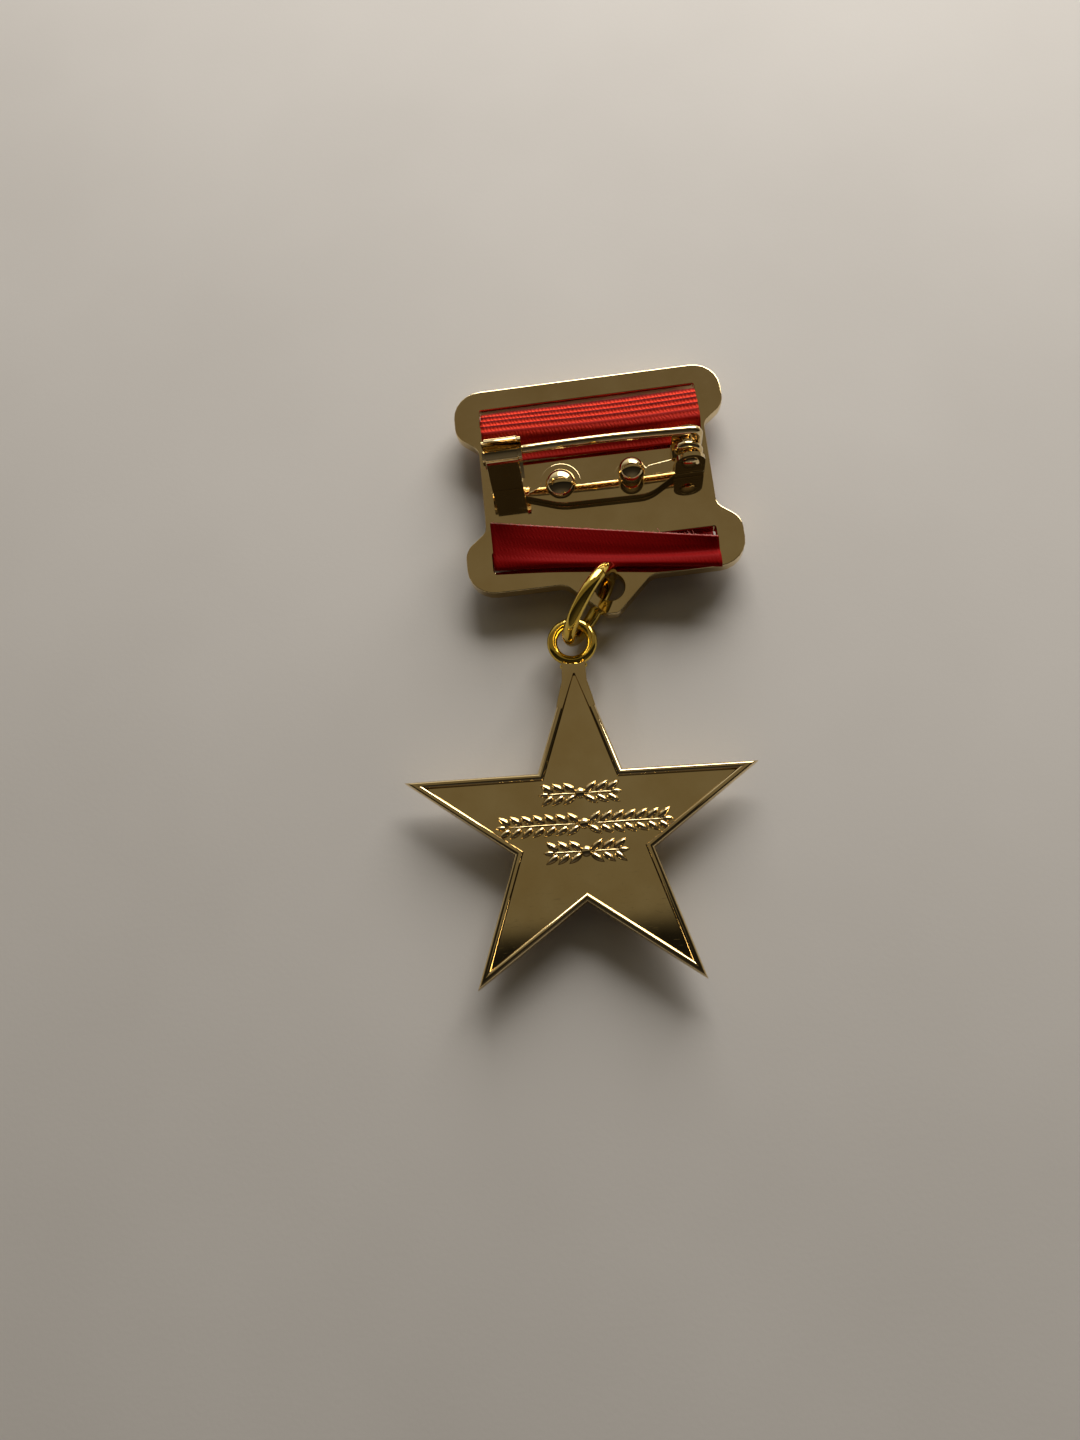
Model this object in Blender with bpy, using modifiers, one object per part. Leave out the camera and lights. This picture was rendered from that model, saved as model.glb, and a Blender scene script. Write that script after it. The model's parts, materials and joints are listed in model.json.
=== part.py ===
"""A five-pointed star medal with its ribbon plate and safety pin, lying face down, pin side up.

Units are metres and +Z is up. The plate's long edges run along X and its top edge is towards +Y.
Every piece is its own object, parented to the empty of the body that it belongs to.
"""

import math

import bmesh
import bpy
from mathutils import Matrix, Vector

MM = 0.001
GAP = 0.04 * MM  # clearance between two pieces that touch on the real medal

# Heights above the surface that the medal lies on
PLATE_BACK_Z = 2.9 * MM
STAR_BACK_Z = 2.9 * MM

# Suspension plate, from its own centre
PLATE_THICK = 1.2 * MM
PLATE_HALF_HEIGHT = 10.45 * MM
PLATE_HALF_WIDTH = 12.65 * MM
WAIST_HALF_WIDTH = 10.6 * MM
EAR_RADIUS = 2.6 * MM
SLOT_WIDTH = 20.4 * MM
SLOT_HEIGHT = 1.9 * MM
SLOT_Y = 7.45 * MM
TAB_HALF_WIDTH = 3.9 * MM
TAB_TIP_Y = -13.75 * MM
HOLE_Y = -11.1 * MM
HOLE_RADIUS = 1.35 * MM
RAIL_Y = 9.45 * MM
RAIL_LENGTH = 21.6 * MM
RAIL_WIDTH = 1.2 * MM
RAIL_HEIGHT = 0.9 * MM

# Ribbon
RIBBON_WIDTH = 20.0 * MM
RIBBON_THICK = 0.36 * MM
GLUE_THICK = 0.06 * MM

# Pin bar, its two studs and its hinge, from the plate's centre and back face
BAR_THICK = 0.7 * MM
BAR_WAIST_Y = -1.05 * MM
LEFT_EYE = (-3.3 * MM, -0.5 * MM, 1.85 * MM)
RIGHT_EYE = (3.2 * MM, -0.85 * MM, 1.6 * MM)
LEFT_STUD = (-3.3 * MM, -0.75 * MM)
RIGHT_STUD = (3.2 * MM, -0.85 * MM)
STUD_RADIUS = 0.55 * MM
LEFT_DOME_RADIUS = 1.4 * MM
LEFT_DOME_HEIGHT = 1.05 * MM
RIGHT_BALL_RADIUS = 1.22 * MM
HINGE_X = 8.5 * MM
HINGE_Z = 2.45 * MM
EAR_HALF_WIDTH = 1.35 * MM
EAR_THICK = 0.4 * MM
EAR_YS = (-1.0 * MM, 1.7 * MM)
RIVET_RADIUS = 0.5 * MM
RIVET_HEAD_RADIUS = 0.8 * MM
RIVET_HEAD_HEIGHT = 0.32 * MM

# Safety catch
CATCH_Y = 0.95 * MM
CATCH_Z = 4.8 * MM
CATCH_LEFT = -9.65 * MM
CATCH_RIGHT = -6.75 * MM
HOUSING_RADIUS = 1.25 * MM
HOUSING_THICK = 0.3 * MM
HOUSING_MOUTH = math.radians(25)
FOOT_LENGTH = 2.0 * MM
FOOT_THICK = 0.36 * MM
SLEEVE_RADIUS = 0.9 * MM
SLEEVE_SLOT_HALF = 0.46 * MM
SLEEVE_LIP_RADIUS = 1.15 * MM
SLEEVE_FLANGE = 0.22 * MM
SLEEVE_LIP = 0.32 * MM
LEVER_ANGLE = math.radians(212)
LEVER_REACH = 2.3 * MM
LEVER_HALF_THICK = 0.19 * MM

# Needle
NEEDLE_RADIUS = 0.375 * MM
NEEDLE_BEND = 0.75 * MM
NEEDLE_TIP_X = -9.3 * MM
NEEDLE_ROOT_Y = 0.72 * MM
NEEDLE_BOW = 0.3 * MM
COIL_TURNS = 1.25
COIL_PITCH = 0.82 * MM

# Jump ring, standing on edge through the plate's hole and the star's eyelet
RING_RADIUS = 3.55 * MM
RING_WIRE = 0.6 * MM
RING_YAW = math.radians(37)
RING_ASIDE = 0.35 * MM  # how far the wire stands to one side in the plate's hole
RING_SEAM = math.radians(1.2)

# Eyelet and star
EYELET_RADIUS = 1.8 * MM
EYELET_WIRE = 0.47 * MM
EYELET_Z = 2.2 * MM
RING_TO_EYELET = 3.24 * MM
STAR_RADIUS = 16.0 * MM
STAR_NOTCH_RADIUS = 6.2 * MM
STAR_EDGE = 0.9 * MM
# inset and height of each line of the star's raised rim, from its outer edge inwards, in millimetres
RIM_PROFILE = [(0, -0.28), (0.09, -0.12), (0.13, -0.03), (0.15, 0.0), (0.14, -0.05), (0.1, -0.17), (0.03, -0.4)]
STAR_YAW = math.radians(-2.9)
STAR_TO_EYELET = 17.0 * MM
NECK_HALF_WIDTH = 1.03 * MM
NECK_THICK = 1.3 * MM
STAR_POINTS = 5


# ---------------------------------------------------------------- outlines


def arc(cx, cy, radius, start, end, steps):
    """Points along an arc, both ends included."""
    angles = [start + (end - start) * i / steps for i in range(steps + 1)]
    return [(cx + radius * math.cos(a), cy + radius * math.sin(a)) for a in angles]


def rounded(corners, steps=5):
    """A closed outline through (x, y, radius) corners, each rounded by an arc of its radius."""
    points = []
    count = len(corners)
    for i, (x, y, radius) in enumerate(corners):
        corner = Vector((x, y))
        before = Vector(corners[i - 1][:2])
        after = Vector(corners[(i + 1) % count][:2])
        to_before = (before - corner).normalized()
        to_after = (after - corner).normalized()
        half = to_before.angle(to_after) / 2
        if radius == 0 or half > math.radians(89.5):
            points.append((x, y))
            continue
        centre = corner + (to_before + to_after).normalized() * (radius / math.sin(half))
        first = corner + to_before * (radius / math.tan(half)) - centre
        last = corner + to_after * (radius / math.tan(half)) - centre
        start = math.atan2(first.y, first.x)
        sweep = math.atan2(last.y, last.x) - start
        sweep = (sweep + math.pi) % (2 * math.pi) - math.pi
        points += arc(centre.x, centre.y, radius, start, start + sweep, steps)
    return points


def circle(cx, cy, radius, steps):
    return arc(cx, cy, radius, 0, 2 * math.pi * (1 - 1 / steps), steps - 1)


def box_outline(x0, x1, y0, y1, radius=0.0):
    return rounded([(x0, y0, radius), (x1, y0, radius), (x1, y1, radius), (x0, y1, radius)], 3)


def mirrored(half):
    """A closed outline from its right half, listed from the top down."""
    return half + [(-x, y, r) for x, y, r in reversed(half)]


# ---------------------------------------------------------------- scene helpers


def clear_scene():
    for obj in list(bpy.data.objects):
        bpy.data.objects.remove(obj, do_unlink=True)


def new_collection(name, hidden=False):
    collection = bpy.data.collections.new(name)
    bpy.context.scene.collection.children.link(collection)
    collection.hide_render = hidden
    return collection


def new_material(name, colour, roughness, metallic):
    material = bpy.data.materials.new(name)
    material.use_nodes = True
    shader = material.node_tree.nodes["Principled BSDF"]
    shader.inputs["Base Color"].default_value = (*colour, 1.0)
    shader.inputs["Roughness"].default_value = roughness
    shader.inputs["Metallic"].default_value = metallic
    material.diffuse_color = (*colour, 1.0)
    return material


def new_empty(name, location, yaw=0.0, parent=None):
    empty = bpy.data.objects.new(name, None)
    empty.empty_display_size = 4 * MM
    empty.location = location
    empty.rotation_euler = (0, 0, yaw)
    empty.parent = parent
    PARTS.objects.link(empty)
    return empty


def add_part(name, mesh, material, parent, location=(0, 0, 0), rotation=(0, 0, 0)):
    obj = bpy.data.objects.new(name, mesh)
    PARTS.objects.link(obj)
    obj.parent = parent
    obj.location = location
    obj.rotation_euler = rotation
    mesh.materials.clear()
    mesh.materials.append(material)
    mesh.shade_smooth()
    mesh.set_sharp_from_angle(angle=math.radians(32))
    return obj


def mesh_of(obj):
    """The evaluated mesh of a scratch object, welded, in its own space; the object is removed."""
    PARTS.objects.link(obj)
    graph = bpy.context.evaluated_depsgraph_get()
    mesh = bpy.data.meshes.new_from_object(obj.evaluated_get(graph))
    bpy.data.objects.remove(obj, do_unlink=True)
    mesh_bm = bmesh.new()
    mesh_bm.from_mesh(mesh)
    bmesh.ops.remove_doubles(mesh_bm, verts=mesh_bm.verts, dist=0.001 * MM)
    bmesh.ops.recalc_face_normals(mesh_bm, faces=mesh_bm.faces)
    mesh_bm.to_mesh(mesh)
    mesh_bm.free()
    return mesh


def slab(outlines, thickness):
    """A flat plate of this thickness, centred on its own XY plane; later outlines are holes."""
    curve = bpy.data.curves.new("slab", "CURVE")
    curve.dimensions = "2D"
    curve.fill_mode = "BOTH"
    curve.extrude = thickness / 2
    for outline in outlines:
        spline = curve.splines.new("POLY")
        spline.points.add(len(outline) - 1)
        for point, (x, y) in zip(spline.points, outline):
            point.co = (x, y, 0, 1)
        spline.use_cyclic_u = True
    return mesh_of(bpy.data.objects.new("slab", curve))


def moved(mesh, offset=(0, 0, 0), turn=None):
    """The same mesh, turned and then shifted in its own space."""
    mesh_bm = bmesh.new()
    mesh_bm.from_mesh(mesh)
    if turn is not None:
        mesh_bm.transform(turn)
    bmesh.ops.translate(mesh_bm, verts=mesh_bm.verts, vec=offset)
    mesh_bm.to_mesh(mesh)
    mesh_bm.free()
    return mesh


def boolean(obj, operation, mesh):
    """Joins or cuts a part with a helper mesh given in the part's own space."""
    helper = bpy.data.objects.new(f"{obj.name}_{operation.lower()}", mesh)
    CUTTERS.objects.link(helper)
    helper.parent = obj.parent
    helper.location = obj.location
    helper.rotation_euler = obj.rotation_euler
    helper.hide_render = True
    helper.display_type = "WIRE"
    modifier = obj.modifiers.new(operation.title(), "BOOLEAN")
    modifier.operation = operation
    modifier.solver = "EXACT"
    modifier.object = helper


def soften(obj, width, segments=2, angle=35):
    modifier = obj.modifiers.new("Edges", "BEVEL")
    modifier.width = width
    modifier.segments = segments
    modifier.limit_method = "ANGLE"
    modifier.angle_limit = math.radians(angle)
    modifier.loop_slide = False
    modifier.use_clamp_overlap = False


def turned(profile, steps):
    """A solid of revolution about local Z from (radius, height) points, listed from the top down."""
    mesh = bpy.data.meshes.new("turned")
    edges = [(i, i + 1) for i in range(len(profile) - 1)]
    mesh.from_pydata([(r, 0, z) for r, z in profile], edges, [])
    obj = bpy.data.objects.new("turned", mesh)
    screw = obj.modifiers.new("Screw", "SCREW")
    screw.steps = steps
    screw.render_steps = steps
    screw.use_merge_vertices = True
    screw.merge_threshold = 0.001 * MM
    return mesh_of(obj)


def wire(points, radius, cyclic=False, tip=0):
    """A round wire through these points; the last `tip` points taper to a fine end."""
    curve = bpy.data.curves.new("wire", "CURVE")
    curve.dimensions = "3D"
    curve.bevel_depth = radius
    curve.bevel_resolution = 4
    curve.use_fill_caps = not cyclic
    spline = curve.splines.new("POLY")
    spline.points.add(len(points) - 1)
    spline.use_cyclic_u = cyclic
    for i, point in enumerate(points):
        spline.points[i].co = (*point, 1)
        left = len(points) - 1 - i
        if left < tip:
            spline.points[i].radius = 0.12 + 0.88 * (left / tip) ** 0.6
    return mesh_of(bpy.data.objects.new("wire", curve))


ACROSS = (math.radians(90), 0, math.radians(90))  # an outline in YZ, extruded along X
ALONG = (math.radians(90), 0, 0)  # an outline in XZ, extruded along Y


# ---------------------------------------------------------------- plate and ribbon


def plate_outline():
    half = [
        (PLATE_HALF_WIDTH, PLATE_HALF_HEIGHT, EAR_RADIUS),
        (PLATE_HALF_WIDTH, 5.9 * MM, 1.9 * MM),
        (WAIST_HALF_WIDTH, 4.25 * MM, 1.2 * MM),
        (WAIST_HALF_WIDTH, -4.25 * MM, 1.2 * MM),
        (PLATE_HALF_WIDTH, -5.9 * MM, 1.9 * MM),
        (PLATE_HALF_WIDTH, -PLATE_HALF_HEIGHT, EAR_RADIUS),
        (TAB_HALF_WIDTH, -PLATE_HALF_HEIGHT, 1.4 * MM),
        (0.55 * MM, TAB_TIP_Y, 0.6 * MM),
    ]
    return rounded(mirrored(half), 6)


def make_plate(root):
    half = SLOT_WIDTH / 2
    slots = [
        box_outline(-half, half, y - SLOT_HEIGHT / 2, y + SLOT_HEIGHT / 2, 0.15 * MM)
        for y in (-SLOT_Y, SLOT_Y)
    ]
    hole = circle(0, HOLE_Y, HOLE_RADIUS, 28)
    mesh = slab([plate_outline(), *slots, hole], PLATE_THICK)
    plate = add_part("suspension_plate", mesh, GOLD, root, (0, 0, -PLATE_THICK / 2))
    soften(plate, 0.12 * MM)
    for y in (-RAIL_Y, RAIL_Y):
        boolean(plate, "UNION", rail_mesh(y))
    return plate


def rail_mesh(y):
    """One half-round rail of the plate's front face, sunk a little into it."""
    width = RAIL_WIDTH / 2
    reach = RAIL_LENGTH / 2 - width
    sunk = 0.3 * MM
    mesh_bm = bmesh.new()
    bmesh.ops.create_uvsphere(mesh_bm, u_segments=16, v_segments=8, radius=1)
    for vert in mesh_bm.verts:
        side = 1 if vert.co.x > 0.001 else -1
        vert.co.x = vert.co.x * width + side * reach
        vert.co.y = vert.co.y * width + y
        depth = RAIL_HEIGHT + sunk if vert.co.z < 0 else sunk
        vert.co.z = vert.co.z * depth - PLATE_THICK / 2 + sunk
    mesh = bpy.data.meshes.new("rail")
    mesh_bm.to_mesh(mesh)
    mesh_bm.free()
    return mesh


def ribbon_centreline():
    """(y, z) points of the ribbon from its upper cut end, round the plate's front, to its lower one."""
    back = [(2.25, 0.33), (3.2, 0.34), (4.4, 0.42), (5.4, 0.78), (6.3, 1.05), (7.1, 0.95)]
    upper = [(7.55, 0.5), (7.62, -0.1), (7.6, -0.8), (7.5, -1.35), (7.0, -1.95)]
    front = [(5.6, -2.45), (3.0, -2.68), (0.0, -2.72), (-3.0, -2.68), (-5.6, -2.45)]
    lower = [(-7.0, -1.95), (-7.5, -1.35), (-7.65, -0.8), (-7.75, -0.1), (-8.1, 0.35)]
    end = [(-8.75, 0.55), (-8.95, 0.85), (-8.5, 1.12), (-7.4, 1.02), (-6.4, 0.78), (-5.3, 0.6)]
    return [Vector((y * MM, z * MM)) for y, z in back + upper + front + lower + end]


def band_outline(points, thick):
    """The outline of a band of even thickness along a centreline."""
    left, right = [], []
    last = len(points) - 1
    for i, point in enumerate(points):
        along = (points[min(i + 1, last)] - points[max(i - 1, 0)]).normalized()
        side = Vector((-along.y, along.x)) * (thick / 2)
        left.append(tuple(point + side))
        right.append(tuple(point - side))
    return left + right[::-1]


def make_ribbon(root):
    mesh = slab([band_outline(ribbon_centreline(), RIBBON_THICK)], RIBBON_WIDTH)
    add_part("ribbon", mesh, RED, root, (0.1 * MM, 0, 0), ACROSS)
    film_z = GAP + GLUE_THICK / 2
    top = slab([box_outline(-9 * MM, 9 * MM, 2.4 * MM, 4.0 * MM)], GLUE_THICK)
    add_part("ribbon_glue_top", top, GLUE, root, (0, 0, film_z))
    low = slab([box_outline(-9.6 * MM, -3 * MM, -6.2 * MM, -5.4 * MM)], 0.28 * MM)
    add_part("ribbon_glue_bottom", low, GLUE, root, (0, 0, GAP + 0.14 * MM))


# ---------------------------------------------------------------- pin bar and hinge


def bar_outline():
    """The bar from above: a bowed lower edge, two round eyes on the upper edge and a square hinge end."""
    lower = [
        (-6.75 * MM, -1.5 * MM, 0.08 * MM),
        (-3.4 * MM, -2.72 * MM, 5 * MM),
        (4.7 * MM, -2.85 * MM, 3.2 * MM),
        (7.1 * MM, -1.3 * MM, 0.3 * MM),
        (9.9 * MM, -1.3 * MM, 0.3 * MM),
        (9.9 * MM, 1.95 * MM, 0.3 * MM),
        (7.1 * MM, 1.95 * MM, 0.3 * MM),
        (7.1 * MM, 0.35 * MM, 0.3 * MM),
        (4.9 * MM, 0.05 * MM, 0.0),
        (-6.1 * MM, -1.15 * MM, 0.0),
    ]
    edge = rounded(lower, 4)
    right = arc(*RIGHT_EYE, math.radians(25), math.radians(187), 10)
    left = arc(*LEFT_EYE, math.radians(-17), math.radians(188), 14)
    return edge[:-1] + right + left + edge[-1:]


def ear_outlines():
    bottom = -HINGE_Z + 0.3 * MM
    side = EAR_HALF_WIDTH
    outer = [(-side, bottom), (side, bottom)] + arc(0, 0, side, 0, math.pi, 12)
    return [outer, circle(0, 0, RIVET_RADIUS + GAP, 16)]


def make_bar(root):
    holes = [circle(x, y, STUD_RADIUS + GAP, 14) for x, y in (LEFT_STUD, RIGHT_STUD)]
    mesh = slab([bar_outline(), *holes], BAR_THICK)
    middle = GAP + BAR_THICK / 2
    bar = add_part("pin_bar", mesh, GOLD, root, (0, 0, middle))
    soften(bar, 0.06 * MM)
    stand = Matrix.Rotation(math.radians(90), 4, "X")
    for y in EAR_YS:
        ear = moved(slab(ear_outlines(), EAR_THICK), (HINGE_X, y, HINGE_Z - middle), stand)
        boolean(bar, "UNION", ear)


def steps_to(degrees, count):
    return [math.radians(degrees) * i / count for i in range(count + 1)]


def make_studs(root):
    """The plate's two studs, which pass through the bar; their ends are melted into a dome and a ball."""
    foot = GAP
    top = 2 * GAP + BAR_THICK
    shank = [(STUD_RADIUS, top), (STUD_RADIUS, foot), (0, foot)]
    radius = LEFT_DOME_RADIUS
    height = LEFT_DOME_HEIGHT
    dome = [(radius * math.sin(a), top + height * math.cos(a)) for a in steps_to(90, 8)]
    add_part("bar_stud_left", turned(dome + shank, 24), GOLD, root, (*LEFT_STUD, 0))
    radius = RIGHT_BALL_RADIUS
    centre = top + radius * 0.8
    ball = [(radius * math.sin(a), centre + radius * math.cos(a)) for a in steps_to(143, 12)]
    add_part("bar_stud_right", turned(ball + shank, 24), GOLD, root, (*RIGHT_STUD, 0))


def make_rivet(root):
    near = EAR_YS[0] - EAR_THICK / 2 - GAP
    far = EAR_YS[1] + EAR_THICK / 2 + GAP
    half = (far - near) / 2
    radius = RIVET_HEAD_RADIUS
    height = RIVET_HEAD_HEIGHT
    head = [(radius * math.sin(a), half + height * math.cos(a)) for a in steps_to(90, 5)]
    upper = head + [(RIVET_RADIUS, half)]
    profile = upper + [(r, -z) for r, z in reversed(upper)]
    place = (HINGE_X, (near + far) / 2, HINGE_Z)
    add_part("hinge_rivet", turned(profile, 20), GOLD, root, place, ALONG)


def needle_points():
    """The coil round the rivet, the riser beside it, and the bowed run to the tip."""
    turn = RIVET_RADIUS + 0.045 * MM + NEEDLE_RADIUS
    coil_steps = 22
    points = []
    for i in range(coil_steps + 1):
        back = COIL_TURNS * (1 - i / coil_steps)
        angle = -2 * math.pi * back
        y = NEEDLE_ROOT_Y - COIL_PITCH * back
        points.append((turn * math.cos(angle), y, turn * math.sin(angle)))
    rise = CATCH_Z - HINGE_Z
    start = turn - NEEDLE_BEND
    for x, z in arc(start, rise - NEEDLE_BEND, NEEDLE_BEND, 0, math.pi / 2, 6):
        points.append((x, NEEDLE_ROOT_Y, z))
    reach = NEEDLE_TIP_X - HINGE_X - start
    run_steps = 16
    for i in range(1, run_steps + 1):
        t = i / run_steps
        y = NEEDLE_ROOT_Y + (CATCH_Y - NEEDLE_ROOT_Y) * t
        bow = NEEDLE_BOW * math.sin(math.pi * min(t / 0.86, 1))
        points.append((start + reach * t, y, rise + bow))
    return points


def make_needle(body):
    mesh = wire(needle_points(), NEEDLE_RADIUS, tip=3)
    add_part("pin_needle", mesh, GOLD, body)


# ---------------------------------------------------------------- safety catch


def housing_outline():
    """The catch from its end, about its own centre: foot, upright wall and a C that opens upwards."""
    outer = HOUSING_RADIUS
    inner = outer - HOUSING_THICK
    front = -outer
    floor = GAP - CATCH_Z
    full = 2 * math.pi
    low = math.pi + math.acos((outer - HOUSING_THICK) / outer)
    mouth = HOUSING_MOUTH
    points = [(front, floor), (front + FOOT_LENGTH, floor)]
    points += [(front + FOOT_LENGTH, floor + FOOT_THICK), (front + HOUSING_THICK, floor + FOOT_THICK)]
    points += arc(0, 0, outer, low, full + math.pi / 2 - mouth, 20)
    points += arc(0, 0, inner, full + math.pi / 2 - mouth, math.pi / 2 + mouth, 24)
    points += arc(0, 0, outer, math.pi / 2 + mouth, math.pi, 6)
    return points


def sleeve_outline(radius, lever=False):
    """A disc with a U-shaped slot from its centre up to its edge, and with a thumb lever if wanted."""
    slot = SLEEVE_SLOT_HALF
    half_mouth = math.asin(slot / radius)
    start = math.pi / 2 + half_mouth
    end = 2.5 * math.pi - half_mouth
    if lever:
        half = math.asin(LEVER_HALF_THICK / radius)
        rim = arc(0, 0, radius, start, LEVER_ANGLE - half, 8)
        rim += lever_tip()
        rim += arc(0, 0, radius, LEVER_ANGLE + half, end, 16)
    else:
        rim = arc(0, 0, radius, start, end, 22)
    return rim + arc(0, 0, slot, 2 * math.pi, math.pi, 8)


def lever_tip():
    along = Vector((math.cos(LEVER_ANGLE), math.sin(LEVER_ANGLE)))
    side = Vector((-along.y, along.x))
    end = arc(LEVER_REACH, 0, LEVER_HALF_THICK, -math.pi / 2, math.pi / 2, 4)
    return [tuple(along * x + side * y) for x, y in end]


def make_catch(root, sleeve_body):
    length = CATCH_RIGHT - CATCH_LEFT
    centre = ((CATCH_LEFT + CATCH_RIGHT) / 2, CATCH_Y, CATCH_Z)
    housing = add_part("catch_housing", slab([housing_outline()], length), GOLD, root, centre, ACROSS)
    soften(housing, 0.05 * MM)
    end = length / 2 + GAP
    mesh = slab([sleeve_outline(SLEEVE_RADIUS)], 2 * end + 0.1 * MM)
    sleeve = add_part("catch_sleeve", mesh, GOLD, sleeve_body, (0, 0, 0), ACROSS)
    flange = slab([sleeve_outline(SLEEVE_LIP_RADIUS - 0.1 * MM)], SLEEVE_FLANGE)
    lip = slab([sleeve_outline(SLEEVE_LIP_RADIUS, lever=True)], SLEEVE_LIP)
    boolean(sleeve, "UNION", moved(flange, (0, 0, -end - SLEEVE_FLANGE / 2)))
    boolean(sleeve, "UNION", moved(lip, (0, 0, end + SLEEVE_LIP / 2)))


# ---------------------------------------------------------------- ring, eyelet and star


def make_ring(body):
    steps = 56
    start = math.radians(60) + RING_SEAM / 2
    sweep = 2 * math.pi - RING_SEAM
    angles = [start + sweep * i / steps for i in range(steps + 1)]
    points = [(0, RING_RADIUS * math.cos(a), RING_RADIUS * math.sin(a)) for a in angles]
    add_part("jump_ring", wire(points, RING_WIRE), RING_GOLD, body)


def make_eyelet(body):
    points = [(x, y, 0) for x, y in circle(0, 0, EYELET_RADIUS, 32)]
    mesh = wire(points, EYELET_WIRE, cyclic=True)
    place = (0, STAR_TO_EYELET, EYELET_Z - STAR_BACK_Z)
    add_part("star_eyelet", mesh, RING_GOLD, body, place)


def star_mesh():
    """A star with a raised rim round its flat back, and a front that rises in ridges to one peak."""
    mesh_bm = bmesh.new()
    bmesh.ops.create_circle(mesh_bm, segments=2 * STAR_POINTS, radius=1, cap_ends=True)
    for vert in mesh_bm.verts:
        turns = math.atan2(vert.co.y, vert.co.x) / (2 * math.pi) - 0.25
        index = round(turns * 2 * STAR_POINTS)
        radius = STAR_NOTCH_RADIUS if index % 2 else STAR_RADIUS
        angle = math.pi / 2 + index * math.pi / STAR_POINTS
        vert.co = (radius * math.cos(angle), radius * math.sin(angle), -STAR_EDGE)
    extruded = bmesh.ops.extrude_face_region(mesh_bm, geom=mesh_bm.faces[:], use_keep_orig=True)
    top = [item for item in extruded["geom"] if isinstance(item, bmesh.types.BMFace)][0]
    for inset, height in RIM_PROFILE:
        if inset:
            bmesh.ops.inset_region(mesh_bm, faces=[top], thickness=inset * MM, use_even_offset=True)
        for vert in top.verts:
            vert.co.z = height * MM
    low = -STAR_EDGE + 0.001 * MM
    front = [face for face in mesh_bm.faces if all(vert.co.z < low for vert in face.verts)]
    peak = bmesh.ops.poke(mesh_bm, faces=front)["verts"][0]
    peak.co = (0, 0, -STAR_BACK_Z)
    bmesh.ops.recalc_face_normals(mesh_bm, faces=mesh_bm.faces)
    mesh = bpy.data.meshes.new("star")
    mesh_bm.to_mesh(mesh)
    mesh_bm.free()
    return mesh


def neck_outline():
    """A chevron over the star's top point, which widens the point to meet the eyelet."""
    top = STAR_TO_EYELET - 1.9 * MM
    half = [
        (NECK_HALF_WIDTH, top, 0.12 * MM),
        (1.09 * MM, 13.2 * MM, 0.8 * MM),
        (1.5 * MM, 11.7 * MM, 0.8 * MM),
        (1.7 * MM, 10.83 * MM, 0),
        (1.21 * MM, 10.66 * MM, 0),
    ]
    return rounded([(0, 14.07 * MM, 0.1 * MM)] + [(-x, y, r) for x, y, r in reversed(half)] + half, 4)


def make_star(body):
    star = add_part("star_body", star_mesh(), GOLD, body)
    middle = -NECK_THICK / 2 - 0.013 * MM
    boolean(star, "UNION", moved(slab([neck_outline()], NECK_THICK), (0, 0, middle)))
    saddle = slab([circle(0, STAR_TO_EYELET, EYELET_RADIUS + EYELET_WIRE + GAP, 48)], 4 * MM)
    boolean(star, "DIFFERENCE", moved(saddle, (0, 0, -1 * MM)))


# ---------------------------------------------------------------- assembly


def along_ring(distance):
    """A shift along the ring's plane, level, towards the plate."""
    return Vector((math.sin(RING_YAW), math.cos(RING_YAW), 0)) * distance


def ring_to_hole():
    """How far the ring's centre is from the hole, halfway between the wire's two bearing points there."""
    centre_z = RING_RADIUS + RING_WIRE
    outside = RING_RADIUS + RING_WIRE
    inside = RING_RADIUS - RING_WIRE
    top = centre_z - PLATE_BACK_Z
    low = top + PLATE_THICK
    outer = math.sqrt(outside**2 - top**2)
    inner = math.sqrt(inside**2 - low**2)
    return (outer + inner) / 2


def settle(frames):
    """Moves the frames so that the medal's box is centred on the origin and stands on Z = 0."""
    graph = bpy.context.evaluated_depsgraph_get()
    points = []
    for obj in PARTS.objects:
        if obj.type == "MESH":
            solid = obj.evaluated_get(graph)
            points += [solid.matrix_world @ vert.co for vert in solid.data.vertices]
    low = [min(point[i] for point in points) for i in range(3)]
    high = [max(point[i] for point in points) for i in range(3)]
    shift = Vector(((low[0] + high[0]) / 2, (low[1] + high[1]) / 2, low[2]))
    for frame in frames:
        frame.location -= shift


def build():
    hole = Vector((0, HOLE_Y, 0))
    aside = Vector((math.cos(RING_YAW), -math.sin(RING_YAW), 0)) * RING_ASIDE
    ring_centre = hole - along_ring(ring_to_hole()) - aside
    eyelet = ring_centre - along_ring(RING_TO_EYELET)
    star = eyelet - Vector((-math.sin(STAR_YAW), math.cos(STAR_YAW), 0)) * STAR_TO_EYELET
    sleeve_centre = ((CATCH_LEFT + CATCH_RIGHT) / 2, CATCH_Y, CATCH_Z)
    ring_height = Vector((0, 0, RING_RADIUS + RING_WIRE))
    star_height = Vector((0, 0, STAR_BACK_Z))

    root = new_empty("plate_frame", (0, 0, PLATE_BACK_Z))
    needle = new_empty("needle_axis", (HINGE_X, 0, HINGE_Z), parent=root)
    sleeve = new_empty("sleeve_axis", sleeve_centre, parent=root)
    ring = new_empty("ring_axis", ring_centre + ring_height, -RING_YAW)
    star_frame = new_empty("star_frame", star + star_height, STAR_YAW)

    make_plate(root)
    make_ribbon(root)
    make_bar(root)
    make_studs(root)
    make_rivet(root)
    make_catch(root, sleeve)
    make_needle(needle)
    make_ring(ring)
    make_eyelet(star_frame)
    make_star(star_frame)
    settle([root, ring, star_frame])


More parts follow.
